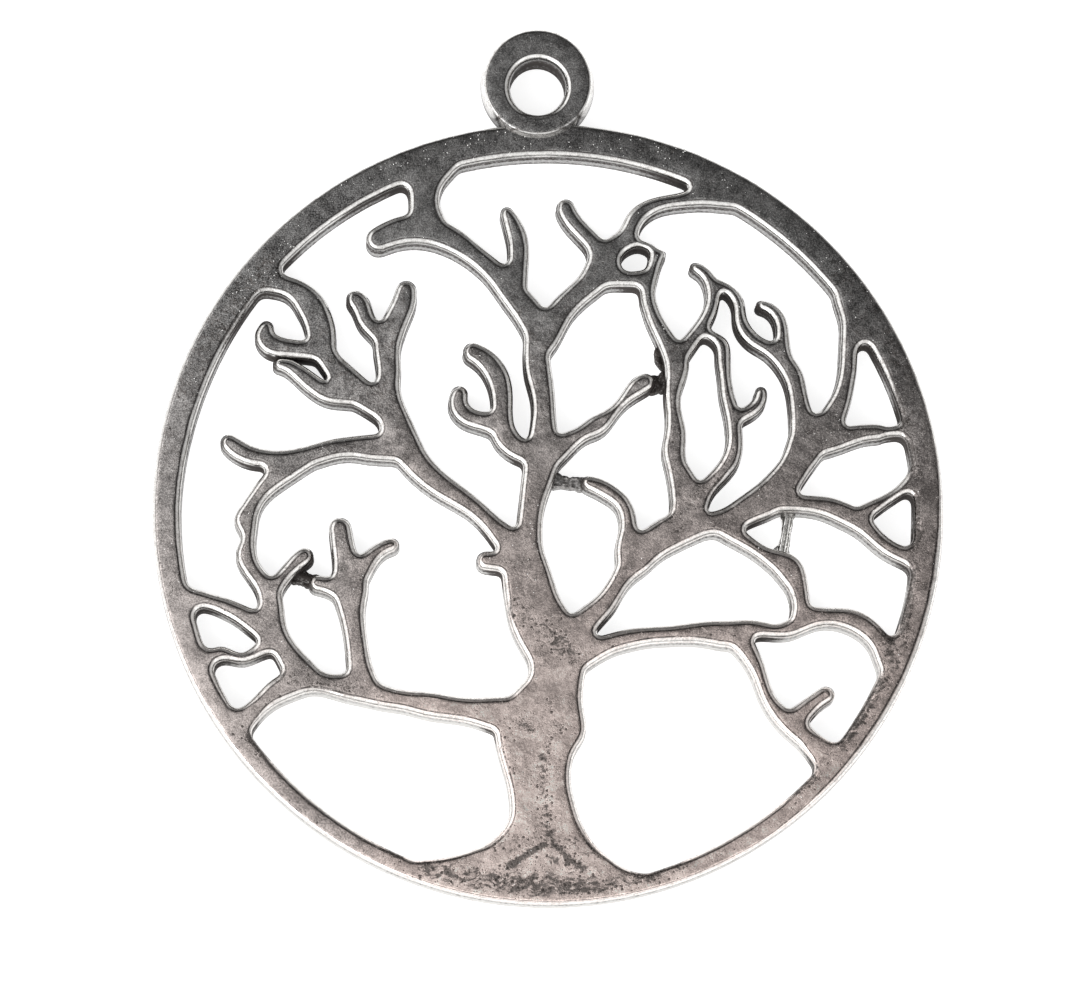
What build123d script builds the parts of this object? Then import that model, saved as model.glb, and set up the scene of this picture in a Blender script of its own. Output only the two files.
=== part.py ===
from build123d import *
import math
import os

os.makedirs("parts", exist_ok=True)

# A round tree pendant, cast in one piece: a flat disc pierced so that a rim and a bare tree remain,
# with a hanging loop standing on the rim. It lies on its back, face up, loop towards +Y.

# Sizes in millimetres.
DISC_DIAMETER = 50.0
PLATE_THICKNESS = 2.3
RIM_EDGE_EASE = 0.3
LOOP_DIAMETER = 7.3
LOOP_FACE_DIAMETER = 6.5
LOOP_THICKNESS = 2.8
LOOP_REACH = 2.55
LOOP_SIDE_SHIFT = -0.7
LOOP_HOLE_DIAMETER = 3.5
LOOP_HOLE_DROP = 0.3
LOOP_HOLE_FLARE = 0.35
WEB_THICKNESS = 1.2

# Rounding of the corners of the gaps: the radius in a crotch of the tree and at the rim, and how far
# along a wall a rounding may reach, as a length and as a share of that wall.
CROTCH_RADIUS = 0.3
RIM_CORNER_RADIUS = 0.65
CORNER_REACH = 0.75
CORNER_SHARE = 0.45

# The filler behind each rounding overlaps the metal: its bite at the ends of the arc, its depth past
# the corner and half the width of its back.
FILLER_BITE = 0.03
FILLER_DEPTH = 0.16
FILLER_SPREAD = 0.18

DISC_RADIUS = DISC_DIAMETER / 2
PERCENT = DISC_RADIUS / 100
LOOP_CENTRE_Y = DISC_RADIUS + LOOP_REACH
OVERALL_HEIGHT = DISC_RADIUS + LOOP_CENTRE_Y + LOOP_DIAMETER / 2
DISC_CENTRE_Y = DISC_RADIUS - OVERALL_HEIGHT / 2
LOOP_HOLE_Y = LOOP_CENTRE_Y - LOOP_HOLE_DROP

# The back of the disc, and upright planes through the middle of the disc, the loop and its hole.
BACK = Plane(origin=(0, DISC_CENTRE_Y, 0))
DISC_SECTION = Plane(origin=(0, DISC_CENTRE_Y, 0), x_dir=(1, 0, 0), z_dir=(0, -1, 0))
LOOP_SECTION = Plane(
    origin=(LOOP_SIDE_SHIFT, DISC_CENTRE_Y + LOOP_CENTRE_Y, 0), x_dir=(1, 0, 0), z_dir=(0, -1, 0)
)
HOLE_SECTION = Plane(
    origin=(LOOP_SIDE_SHIFT, DISC_CENTRE_Y + LOOP_HOLE_Y, 0), x_dir=(1, 0, 0), z_dir=(0, -1, 0)
)

# Corners of the gaps: the least turn, in degrees, that is rounded, and from where on, in percent of
# the disc radius, a corner lies at the rim and gets the larger radius.
LEAST_TURN = 22
RIM_CORNERS_FROM = 86

# Inner edge of the rim. Columns: angle from +X in degrees, radius in percent of the disc radius.
RIM_INNER_EDGE = [
    (0, 92.6),
    (18, 92.5),
    (36, 91.9),
    (54, 91.7),
    (72, 91.6),
    (90, 91.5),
    (104, 91.6),
    (120, 92.0),
    (138, 92.1),
    (152, 92.1),
    (166, 92.4),
    (180, 93.0),
    (196, 93.2),
    (209, 94.1),
    (223, 94.6),
    (238, 95.0),
    (254, 95.3),
    (270, 95.8),
    (286, 95.3),
    (302, 94.7),
    (314, 94.3),
    (324, 93.7),
    (334, 93.2),
    (348, 93.0),
]

# Limbs of the tree, each from its foot to its tip.
# Columns: x, y from the disc centre and full width there, all in percent of the disc radius.
LIMBS = {
    "trunk": [
        (-1.6, -97.5, 39.0),
        (-1.6, -92.0, 26.0),
        (-1.6, -87.0, 22.0),
        (-1.0, -80.0, 18.2),
        (-1.6, -75.0, 16.1),
        (-2.3, -70.0, 15.6),
        (-2.8, -65.0, 17.1),
        (-3.2, -60.0, 20.0),
        (-1.6, -54.0, 22.3),
        (0.4, -48.0, 17.3),
        (2.0, -42.3, 13.7),
        (2.3, -37.0, 15.0),
        (-0.5, -31.0, 15.2),
        (-3.6, -25.0, 13.9),
        (-4.8, -20.0, 12.8),
        (-5.6, -15.0, 11.7),
        (-5.5, -10.0, 8.4),
        (-4.9, -5.0, 6.4),
        (-4.4, 0.0, 6.2),
        (-3.5, 5.0, 7.0),
        (-2.3, 10.0, 8.2),
        (-1.3, 15.0, 8.6),
        (-1.3, 20.0, 7.0),
        (-1.2, 25.0, 5.8),
        (-1.5, 30.0, 5.9),
        (-2.5, 35.0, 6.6),
        (-3.0, 40.0, 6.5),
        (-2.0, 46.0, 8.0),
    ],
    "left root": [
        (-5.7, -76.5, 8.0),
        (-8.0, -83.2, 8.0),
        (-12.3, -87.7, 8.4),
        (-18.6, -90.7, 8.5),
        (-27.6, -92.8, 8.4),
        (-35.0, -92.6, 6.8),
    ],
    "right root": [
        (2.4, -75.0, 8.0),
        (4.3, -80.5, 8.0),
        (9.0, -88.4, 8.4),
        (13.3, -92.1, 8.4),
        (18.0, -94.0, 6.8),
        (24.0, -94.7, 5.3),
        (30.0, -93.6, 4.0),
    ],
    "left crown": [
        (-2.2, 43.0, 6.0),
        (-3.6, 48.0, 7.2),
        (-5.6, 51.6, 7.4),
        (-8.4, 55.0, 6.9),
        (-13.0, 60.6, 5.8),
        (-18.4, 65.4, 5.2),
        (-23.4, 69.1, 6.2),
        (-29.0, 71.6, 7.0),
        (-35.0, 72.4, 7.4),
        (-40.0, 71.2, 6.8),
        (-43.2, 69.7, 6.2),
    ],
    "left crown stay": [
        (-30.6, 72.0, 11.0),
        (-31.4, 76.0, 8.6),
        (-31.6, 80.0, 7.5),
        (-31.5, 84.0, 9.4),
        (-31.5, 88.0, 16.0),
        (-31.5, 92.0, 20.0),
    ],
    "left crown twig": [
        (-8.5, 57.0, 6.0),
        (-8.0, 61.0, 5.3),
        (-7.6, 65.5, 5.1),
        (-7.9, 70.0, 5.0),
        (-9.2, 74.0, 4.4),
        (-10.6, 76.8, 3.2),
    ],
    "right crown": [
        (-2.6, 41.0, 5.4),
        (0.6, 46.6, 6.6),
        (3.2, 51.3, 6.4),
        (7.4, 55.7, 6.1),
        (11.2, 59.3, 7.0),
        (14.4, 63.9, 8.9),
        (17.8, 68.0, 7.0),
        (20.4, 71.5, 4.9),
        (21.8, 74.9, 4.5),
        (24.5, 77.7, 4.2),
        (28.5, 79.4, 3.6),
        (33.5, 80.3, 3.6),
        (38.0, 81.2, 4.6),
        (43.0, 81.4, 5.4),
        (47.5, 81.0, 5.4),
    ],
    "right crown twig": [
        (13.0, 63.0, 8.0),
        (11.9, 68.4, 5.0),
        (8.5, 72.1, 4.5),
        (5.5, 75.7, 4.6),
        (4.4, 78.1, 4.7),
    ],
    "eyelet head": [
        (18.5, 67.6, 3.6),
        (22.6, 69.0, 1.8),
        (26.4, 67.6, 2.0),
    ],
    "eyelet foot": [
        (13.0, 60.5, 7.0),
        (18.0, 60.2, 4.6),
        (22.0, 59.8, 4.0),
        (25.5, 60.5, 4.0),
    ],
    "hanging bough": [
        (28.3, 67.4, 4.0),
        (26.9, 63.6, 3.4),
        (26.0, 60.0, 3.4),
        (25.2, 56.0, 3.6),
        (25.7, 53.0, 3.6),
        (26.7, 50.0, 3.8),
        (28.5, 46.4, 4.2),
        (30.8, 42.3, 5.1),
        (32.6, 37.8, 6.0),
        (32.3, 34.5, 5.2),
        (31.5, 30.0, 4.0),
        (31.7, 25.5, 3.7),
        (32.2, 20.5, 5.0),
        (31.7, 16.0, 5.6),
        (32.3, 12.0, 5.3),
        (33.8, 8.0, 6.8),
        (35.2, 3.0, 8.5),
        (35.5, -2.0, 10.0),
    ],
    "hanging bough left fork": [
        (32.2, 38.6, 4.6),
        (34.8, 42.0, 4.2),
        (37.0, 44.9, 3.8),
        (39.2, 48.0, 3.5),
        (40.8, 51.0, 3.4),
        (41.8, 54.5, 3.4),
        (41.5, 58.0, 3.4),
        (39.9, 61.2, 3.0),
        (37.2, 62.9, 2.6),
    ],
    "hanging bough right fork": [
        (38.5, 47.0, 3.0),
        (41.6, 45.1, 2.4),
        (43.8, 43.4, 3.2),
        (44.4, 39.8, 3.5),
        (44.7, 35.0, 3.0),
        (45.3, 30.0, 3.4),
        (46.4, 25.5, 3.6),
        (47.1, 21.0, 3.7),
        (47.2, 17.5, 3.9),
        (46.4, 13.8, 4.4),
        (44.1, 10.2, 4.2),
        (41.1, 7.1, 4.2),
        (38.0, 3.0, 6.4),
    ],
    "right fork twig": [
        (46.5, 24.0, 3.6),
        (49.9, 25.1, 3.3),
        (53.0, 27.5, 3.2),
        (53.9, 30.7, 3.0),
    ],
    "arched bough": [
        (41.6, 58.6, 3.2),
        (44.5, 58.0, 2.4),
        (47.1, 55.9, 2.8),
        (48.4, 53.1, 2.9),
        (48.6, 50.0, 3.1),
        (50.0, 46.4, 3.6),
        (52.5, 43.8, 3.5),
        (55.5, 42.1, 3.6),
        (58.3, 39.9, 4.1),
        (60.9, 37.0, 4.9),
        (62.5, 33.6, 4.9),
        (63.2, 30.0, 4.7),
        (63.9, 26.0, 5.3),
        (65.0, 21.0, 7.4),
    ],
    "arched bough hook": [
        (60.2, 39.0, 4.0),
        (59.4, 43.5, 3.5),
        (59.3, 47.1, 3.1),
        (58.3, 50.4, 2.9),
        (56.2, 52.5, 2.6),
        (53.9, 53.2, 2.4),
    ],
    "right bough": [
        (2.0, -38.0, 12.0),
        (5.6, -32.4, 9.0),
        (8.7, -29.0, 7.2),
        (11.4, -26.4, 6.2),
        (14.1, -23.8, 5.6),
        (17.1, -19.4, 4.9),
        (19.4, -15.8, 5.9),
        (21.8, -12.7, 8.0),
        (25.0, -9.4, 8.3),
        (30.0, -6.0, 8.7),
        (35.0, -3.9, 8.2),
        (40.0, -3.2, 5.8),
        (44.5, -2.6, 6.4),
        (49.7, 0.1, 7.2),
        (55.2, 3.2, 8.7),
        (59.3, 7.2, 8.6),
        (62.7, 12.0, 8.2),
        (65.5, 17.4, 10.0),
        (69.0, 21.0, 9.0),
    ],
    "bridge bough": [
        (20.6, -15.5, 4.6),
        (20.1, -11.8, 6.2),
        (20.0, -8.2, 5.8),
        (20.2, -4.7, 4.4),
        (19.9, -1.2, 4.0),
        (18.7, 1.9, 3.9),
        (16.3, 4.2, 4.1),
        (13.1, 6.1, 4.1),
        (9.9, 7.2, 3.4),
    ],
    "leaf bough": [
        (-0.8, 13.8, 8.3),
        (5.1, 17.7, 5.2),
        (9.0, 20.1, 4.0),
        (12.1, 21.9, 5.0),
        (14.8, 23.9, 3.8),
        (17.1, 26.2, 2.6),
        (19.8, 29.2, 3.1),
        (22.3, 31.7, 4.6),
        (24.6, 33.1, 4.6),
    ],
    "rim strut": [
        (71.2, 19.0, 7.6),
        (72.4, 25.0, 6.2),
        (74.1, 28.5, 5.1),
        (75.4, 33.0, 4.3),
        (76.1, 37.5, 4.2),
        (76.4, 42.0, 4.4),
        (77.6, 46.0, 6.4),
        (78.4, 50.0, 8.6),
        (78.3, 54.0, 10.7),
        (78.5, 57.0, 12.0),
    ],
    "upper right spur": [
        (68.0, 18.6, 8.0),
        (74.5, 19.0, 5.6),
        (79.5, 20.2, 4.4),
        (83.6, 20.5, 4.0),
    ],
    "upper right link": [
        (83.1, 20.4, 2.9),
        (88.0, 20.8, 2.5),
        (93.5, 21.8, 2.8),
    ],
    "lower right bough": [
        (57.0, 3.0, 6.0),
        (65.0, 2.0, 4.3),
        (70.0, 1.4, 5.0),
        (75.0, -0.5, 5.6),
        (79.2, -3.0, 5.1),
        (82.5, -6.3, 4.2),
        (86.0, -9.2, 4.2),
        (90.0, -11.1, 4.4),
        (94.5, -12.6, 7.0),
    ],
    "lower right fork": [
        (77.5, -2.0, 5.0),
        (82.2, 1.2, 3.6),
        (85.2, 3.0, 2.8),
        (88.2, 4.9, 2.6),
        (91.2, 7.3, 3.4),
        (94.5, 10.0, 6.5),
    ],
    "weeping bough": [
        (43.0, -2.6, 6.0),
        (47.6, -6.3, 4.3),
        (51.2, -8.7, 3.5),
        (54.7, -11.0, 3.8),
        (57.9, -12.6, 5.6),
        (60.8, -14.7, 6.9),
        (62.6, -18.3, 5.6),
        (63.5, -22.0, 4.5),
        (63.8, -26.5, 5.4),
    ],
    "wave bough": [
        (5.0, -38.0, 9.0),
        (12.0, -35.3, 5.7),
        (16.0, -33.7, 4.9),
        (20.5, -32.5, 4.7),
        (26.0, -31.7, 4.2),
        (31.0, -31.4, 4.2),
        (36.0, -31.0, 4.8),
        (41.0, -31.0, 6.0),
        (46.0, -31.2, 6.6),
        (50.0, -30.2, 5.1),
        (53.5, -30.0, 3.9),
        (57.5, -30.5, 3.4),
        (61.5, -29.6, 4.4),
        (66.0, -27.1, 5.4),
        (70.5, -26.8, 4.5),
        (75.1, -27.2, 5.2),
        (79.6, -29.2, 5.5),
        (83.0, -32.6, 5.3),
        (85.5, -37.0, 6.5),
        (88.5, -41.0, 8.0),
    ],
    "lower right stay": [
        (46.0, -30.5, 7.0),
        (51.1, -37.1, 4.5),
        (53.3, -42.0, 3.7),
        (54.7, -46.4, 3.5),
        (57.3, -50.6, 4.2),
        (60.9, -54.0, 5.5),
        (65.2, -57.9, 5.4),
        (69.7, -62.1, 7.4),
        (73.4, -65.0, 10.0),
    ],
    "lower right twig": [
        (60.5, -54.5, 6.0),
        (64.2, -51.1, 5.0),
        (67.0, -48.6, 4.2),
        (69.9, -46.6, 4.3),
    ],
    "curl bough": [
        (-3.0, 15.0, 6.0),
        (-7.9, 16.0, 5.8),
        (-11.3, 19.8, 6.2),
        (-11.8, 25.0, 5.2),
        (-11.8, 29.0, 5.3),
        (-12.6, 33.4, 5.7),
        (-14.8, 37.4, 5.6),
        (-19.2, 40.7, 4.9),
    ],
    "curl bough hook": [
        (-11.0, 20.8, 6.4),
        (-16.5, 22.9, 4.9),
        (-20.3, 24.0, 4.7),
        (-22.7, 26.6, 4.8),
        (-22.6, 29.8, 4.3),
    ],
    "left bough": [
        (-5.8, -13.0, 8.4),
        (-10.0, -8.0, 7.0),
        (-13.8, -4.2, 5.2),
        (-18.3, 0.2, 4.8),
        (-24.9, 4.8, 5.8),
        (-29.5, 8.1, 6.4),
        (-34.4, 13.4, 7.4),
        (-37.8, 19.5, 8.4),
        (-40.0, 26.0, 7.2),
        (-40.8, 31.0, 6.2),
        (-40.5, 36.0, 6.0),
        (-41.0, 41.0, 6.6),
        (-40.3, 45.0, 6.8),
        (-38.8, 48.5, 6.3),
        (-37.0, 52.5, 6.0),
        (-36.1, 56.6, 5.0),
    ],
    "left bough twig": [
        (-41.0, 43.6, 5.0),
        (-44.4, 46.4, 4.3),
        (-46.5, 49.3, 4.6),
        (-47.4, 52.1, 4.9),
        (-49.0, 54.2, 4.6),
    ],
    "left bough burr": [
        (-9.0, -13.0, 6.0),
        (-13.0, -13.0, 4.8),
        (-15.9, -12.8, 4.6),
    ],
    "upper left bough": [
        (-40.0, 24.5, 7.0),
        (-44.5, 27.8, 6.8),
        (-49.0, 31.0, 7.4),
        (-53.3, 35.6, 6.4),
        (-56.3, 39.5, 5.8),
        (-57.5, 44.0, 7.2),
        (-58.5, 48.6, 7.4),
        (-60.8, 53.1, 7.3),
        (-65.0, 56.8, 5.5),
        (-71.0, 58.5, 5.5),
        (-76.0, 61.0, 7.0),
    ],
    "upper left hook": [
        (-56.5, 40.3, 5.0),
        (-62.0, 41.0, 4.5),
        (-66.5, 41.5, 4.8),
        (-70.2, 42.4, 5.4),
        (-72.0, 44.7, 4.9),
        (-71.5, 46.8, 3.5),
    ],
    "upper left underhook": [
        (-47.5, 29.0, 5.0),
        (-52.0, 28.9, 4.0),
        (-56.0, 29.8, 4.6),
        (-59.2, 31.9, 4.8),
        (-62.5, 34.5, 4.4),
        (-65.5, 36.7, 3.6),
        (-68.6, 37.4, 2.6),
    ],
    "outer left bough": [
        (-35.0, 15.5, 7.0),
        (-40.0, 16.0, 7.0),
        (-45.0, 16.0, 6.5),
        (-50.0, 16.1, 5.3),
        (-55.0, 15.4, 5.1),
        (-60.0, 13.9, 5.2),
        (-65.0, 12.9, 4.9),
        (-70.0, 13.0, 4.2),
        (-75.0, 13.7, 4.7),
        (-78.5, 15.3, 4.8),
        (-80.8, 17.1, 4.3),
    ],
    "falling bough": [
        (-57.0, 14.8, 3.6),
        (-63.0, 12.0, 5.2),
        (-68.0, 8.8, 5.6),
        (-72.1, 5.0, 4.6),
        (-75.0, 0.6, 4.6),
        (-76.4, -3.6, 5.6),
        (-75.7, -7.0, 3.5),
        (-76.3, -10.3, 4.7),
        (-75.4, -14.2, 4.8),
        (-72.4, -18.3, 4.8),
        (-70.2, -22.8, 6.0),
        (-70.0, -27.0, 6.8),
        (-69.0, -31.5, 6.6),
        (-66.5, -35.6, 6.0),
        (-63.7, -39.7, 7.2),
        (-60.0, -43.0, 6.5),
    ],
    "falling bough twig": [
        (-70.0, -21.5, 5.0),
        (-68.2, -18.8, 4.0),
        (-65.8, -15.9, 3.6),
        (-63.6, -13.6, 4.0),
        (-61.5, -11.9, 4.4),
    ],
    "outer left stay": [
        (-69.5, -31.5, 7.0),
        (-73.7, -29.0, 5.8),
        (-77.2, -26.9, 4.8),
        (-81.0, -25.0, 4.3),
        (-85.0, -23.6, 3.9),
        (-89.0, -22.8, 4.6),
        (-94.5, -22.0, 8.0),
    ],
    "wavy stay": [
        (-69.2, -34.3, 4.6),
        (-73.8, -36.5, 3.0),
        (-77.3, -37.9, 2.5),
        (-80.0, -37.2, 2.8),
        (-82.3, -36.7, 3.6),
        (-85.0, -37.9, 4.2),
        (-89.5, -38.6, 6.5),
    ],
    "lower left bough": [
        (-1.0, -54.0, 12.0),
        (-9.0, -52.3, 9.8),
        (-14.5, -51.6, 8.1),
        (-20.0, -50.9, 6.2),
        (-26.0, -50.1, 6.1),
        (-31.0, -49.3, 6.1),
        (-36.0, -48.5, 5.0),
        (-41.0, -47.6, 5.4),
        (-46.0, -46.0, 6.4),
        (-51.0, -44.9, 6.4),
        (-55.5, -44.3, 5.0),
        (-60.0, -43.2, 6.4),
        (-64.8, -44.5, 6.7),
        (-69.6, -47.2, 5.6),
        (-73.3, -50.6, 4.8),
        (-77.0, -54.0, 6.5),
        (-80.5, -56.5, 9.0),
    ],
    "three pronged bough": [
        (-45.6, -46.5, 8.0),
        (-47.6, -40.0, 6.2),
        (-48.3, -35.0, 5.6),
        (-49.0, -30.0, 5.7),
        (-49.7, -25.0, 6.9),
        (-50.0, -20.1, 9.0),
        (-51.0, -14.0, 6.8),
        (-51.9, -9.3, 5.8),
        (-52.6, -4.7, 5.5),
    ],
    "right prong": [
        (-48.8, -17.2, 6.6),
        (-45.5, -13.1, 4.6),
        (-42.5, -10.2, 3.6),
        (-39.4, -8.9, 3.5),
    ],
    "left prong": [
        (-51.0, -21.5, 6.0),
        (-54.8, -19.6, 4.4),
        (-58.4, -18.8, 4.0),
    ],
}

# Low webs of metal that tie neighbouring limbs together, sunk below the face. Same columns.
WEBS = {
    "trunk to bridge bough": [
        (-1.0, 8.9, 5.0),
        (2.5, 8.3, 3.4),
        (6.0, 7.8, 3.0),
        (11.0, 7.2, 3.0),
    ],
    "leaf bough to hanging bough": [
        (23.5, 32.4, 3.4),
        (27.3, 33.4, 4.2),
        (31.0, 34.2, 5.4),
    ],
    "flash on hanging bough": [
        (30.6, 37.0, 1.8),
        (29.0, 39.4, 3.4),
        (28.4, 41.6, 2.6),
    ],
    "falling bough twig to left prong": [
        (-66.2, -15.9, 3.0),
        (-62.0, -16.8, 3.4),
        (-57.5, -18.3, 3.2),
    ],
    "right bough to weeping bough": [
        (61.0, 1.5, 3.4),
        (60.6, -3.0, 2.8),
        (60.2, -6.0, 2.6),
        (58.9, -10.0, 4.0),
    ],
}

# The round eyelet pierced where the right crown meets the hanging bough.
EYELET_X = 21.6
EYELET_Y = 64.7
EYELET_LENGTH = 7.1
EYELET_WIDTH = 5.6
EYELET_TURN = 35


def fill_limb(stations):
    """Fill one limb: a smooth side along each edge of its stations, cut square at the foot, round at the tip."""
    centres = [Vector(x, y) * PERCENT for x, y, width in stations]
    halves = [width * PERCENT / 2 for x, y, width in stations]
    last = len(stations) - 1
    headings = [
        (centres[min(i + 1, last)] - centres[max(i - 1, 0)]).normalized() for i in range(last + 1)
    ]
    left = [c + Vector(-h.Y, h.X) * w for c, h, w in zip(centres, headings, halves)]
    right = [c - Vector(-h.Y, h.X) * w for c, h, w in zip(centres, headings, halves)]
    with BuildLine() as outline:
        Spline(*left)
        ThreePointArc(left[-1], centres[-1] + headings[-1] * halves[-1], right[-1])
        Spline(*reversed(right))
        Line(right[0], left[0])
    make_face(outline.edges())


def turn_between(wall, share, next_wall, next_share, hand):
    """Return how far a gap's outline turns inwards from a place on one wall to a place on the next."""
    return hand * (wall % share).get_signed_angle(next_wall % next_share, Vector(0, 0, 1))


def round_corners(gap):
    """Fill each corner of one gap behind a short arc that runs from wall to wall."""
    walls = gap.order_edges()
    ring = [wall @ (quarter / 4) for wall in walls for quarter in range(4)]
    hand = math.copysign(1, sum(a.X * b.Y - b.X * a.Y for a, b in zip(ring, ring[1:] + ring[:1])))
    with BuildSketch(mode=Mode.PRIVATE) as fillers:
        for wall, next_wall in zip(walls, walls[1:] + walls[:1]):
            corner = wall @ 1
            turn = turn_between(wall, 1, next_wall, 0, hand)
            if turn < LEAST_TURN:
                continue
            radius = RIM_CORNER_RADIUS if corner.length > RIM_CORNERS_FROM * PERCENT else CROTCH_RADIUS
            reach = min(
                radius * math.tan(math.radians(turn / 2)),
                CORNER_REACH,
                CORNER_SHARE * wall.length,
                CORNER_SHARE * next_wall.length,
            )
            first = 1 - reach / wall.length
            last = reach / next_wall.length
            turn = turn_between(wall, first, next_wall, last, hand)
            if turn < LEAST_TURN:
                continue
            chord_middle = (wall @ first + next_wall @ last) / 2
            inward = (corner - chord_middle).normalized()
            rise = (next_wall @ last - wall @ first).length / 2 * math.tan(math.radians(turn / 4))
            start = wall @ first + inward * FILLER_BITE
            end = next_wall @ last + inward * FILLER_BITE
            back = corner + inward * FILLER_DEPTH
            spread = (end - start).normalized() * FILLER_SPREAD
            with BuildLine() as outline:
                ThreePointArc(start, chord_middle + inward * rise, end)
                Polyline(end, back + spread, back - spread, start)
            make_face(outline.edges())
    add(fillers.sketch_local)


with BuildPart() as tree_pendant:
    with BuildSketch(BACK) as outline_plan:
        Circle(DISC_RADIUS)
        with BuildLine():
            Spline(
                *[
                    (
                        radius * PERCENT * math.cos(math.radians(angle)),
                        radius * PERCENT * math.sin(math.radians(angle)),
                    )
                    for angle, radius in RIM_INNER_EDGE
                ],
                periodic=True,
            )
        make_face(mode=Mode.SUBTRACT)
        for stations in LIMBS.values():
            fill_limb(stations)
        Circle(DISC_RADIUS, mode=Mode.INTERSECT)
        for gap in outline_plan.sketch_local.faces()[0].inner_wires():
            round_corners(gap)
        with Locations((EYELET_X * PERCENT, EYELET_Y * PERCENT)):
            Ellipse(
                EYELET_LENGTH / 2 * PERCENT,
                EYELET_WIDTH / 2 * PERCENT,
                rotation=EYELET_TURN,
                mode=Mode.SUBTRACT,
            )
    extrude(amount=PLATE_THICKNESS)

    # The outer edge of the rim, eased at the back and at the face.
    with BuildSketch(DISC_SECTION):
        with BuildLine():
            Polyline(
                (0, 0),
                (DISC_RADIUS - RIM_EDGE_EASE, 0),
                (DISC_RADIUS, RIM_EDGE_EASE),
                (DISC_RADIUS, PLATE_THICKNESS - RIM_EDGE_EASE),
                (DISC_RADIUS - RIM_EDGE_EASE, PLATE_THICKNESS),
                (0, PLATE_THICKNESS),
                close=True,
            )
        make_face()
    revolve(axis=Axis(DISC_SECTION.origin, (0, 0, 1)), mode=Mode.INTERSECT)

    with BuildSketch(BACK):
        for stations in WEBS.values():
            fill_limb(stations)
    extrude(amount=WEB_THICKNESS)

    # The loop, round on its outer side and thicker than the plate.
    with BuildSketch(LOOP_SECTION):
        with BuildLine():
            Polyline(
                (LOOP_FACE_DIAMETER / 2, 0),
                (0, 0),
                (0, LOOP_THICKNESS),
                (LOOP_FACE_DIAMETER / 2, LOOP_THICKNESS),
            )
            ThreePointArc(
                (LOOP_FACE_DIAMETER / 2, LOOP_THICKNESS),
                (LOOP_DIAMETER / 2, LOOP_THICKNESS / 2),
                (LOOP_FACE_DIAMETER / 2, 0),
            )
        make_face()
    revolve(axis=Axis(LOOP_SECTION.origin, (0, 0, 1)))

    # Its hole, flared towards the face.
    with BuildSketch(HOLE_SECTION):
        with BuildLine():
            Polyline(
                (0, 0),
                (LOOP_HOLE_DIAMETER / 2, 0),
                (LOOP_HOLE_DIAMETER / 2, LOOP_THICKNESS - LOOP_HOLE_FLARE),
                (LOOP_HOLE_DIAMETER / 2 + LOOP_HOLE_FLARE, LOOP_THICKNESS),
                (0, LOOP_THICKNESS),
                close=True,
            )
        make_face()
    revolve(axis=Axis(HOLE_SECTION.origin, (0, 0, 1)), mode=Mode.SUBTRACT)

tree_pendant.part.label = "tree_pendant"
export_step(tree_pendant.part, "parts/tree_pendant.step")
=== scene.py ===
import math

import bmesh
import bpy
import numpy as np
from mathutils import Matrix, Vector, kdtree, noise
from mathutils.geometry import delaunay_2d_cdt


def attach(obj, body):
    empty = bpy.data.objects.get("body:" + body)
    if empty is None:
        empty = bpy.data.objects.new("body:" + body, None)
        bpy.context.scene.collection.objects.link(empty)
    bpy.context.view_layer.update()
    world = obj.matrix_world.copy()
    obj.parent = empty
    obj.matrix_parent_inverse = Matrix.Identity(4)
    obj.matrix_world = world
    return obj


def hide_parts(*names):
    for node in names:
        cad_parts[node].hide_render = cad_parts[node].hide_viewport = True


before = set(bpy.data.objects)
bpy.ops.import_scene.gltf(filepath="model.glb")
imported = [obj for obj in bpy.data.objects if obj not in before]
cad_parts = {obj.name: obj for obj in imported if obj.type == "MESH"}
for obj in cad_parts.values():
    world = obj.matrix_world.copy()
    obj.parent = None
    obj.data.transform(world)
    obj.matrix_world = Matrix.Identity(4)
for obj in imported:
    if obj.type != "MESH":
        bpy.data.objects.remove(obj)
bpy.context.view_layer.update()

# The pierced disc: a rim and a bare tree cast in one flat plate of silver-coloured alloy.
# It comes out of a two-part mould with soft, rounded edges on the face, rough upright walls
# and a plain back, and is then blackened and tumbled until the edges shine.

# Lengths are in millimetres where no comment says metres, and MM makes metres of them.
MM = 0.001
PLATE_THICKNESS = 2.3
DISC_RADIUS = 25.0
DISC_CENTRE = (0.0, -3.1)
# The solid is cut level at this height, where its walls stand upright, to get the outlines.
SECTION_HEIGHT = 1.9
WELD_DISTANCE = 0.002
# A row of edges with no more points than this is a stray sliver and no outline.
FEWEST_POINTS = 8
OUTLINE_STEP = 0.17
FEWEST_STEPS = 16
OUTLINE_SOFTENINGS = 2
# The limbs stand out this much further into the gaps than the solid's.
LIMB_SWELL = 0.06
# The face's outlines lie this far inside the plate's own.
PARTING_LEDGE = 0.02


def chained(edges):
    """Closed outlines, in millimetres, from loose edges that meet end to end."""
    links, loops = {}, []
    for edge in edges:
        a, b = edge.verts
        links.setdefault(a, []).append(b)
        links.setdefault(b, []).append(a)
    while links:
        start = next(iter(links))
        loop, here, last = [], start, None
        while here in links:
            onward = [v for v in links.pop(here) if v is not last and (v in links or v is start)]
            loop.append((here.co.x / MM, here.co.y / MM))
            if not onward:
                break
            last, here = here, onward[0]
        if len(loop) > FEWEST_POINTS:
            loops.append(np.array(loop))
    return loops


def section_loops(node, height):
    """Closed outlines, in millimetres, of a node cut level at a height."""
    cut = bmesh.new()
    cut.from_mesh(node.data)
    bmesh.ops.remove_doubles(cut, verts=cut.verts, dist=WELD_DISTANCE * MM)
    found = bmesh.ops.bisect_plane(
        cut,
        geom=cut.verts[:] + cut.edges[:] + cut.faces[:],
        plane_co=(0, 0, height * MM),
        plane_no=(0, 0, 1),
    )["geom_cut"]
    loops = chained([edge for edge in found if isinstance(edge, bmesh.types.BMEdge)])
    cut.free()
    return loops


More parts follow.
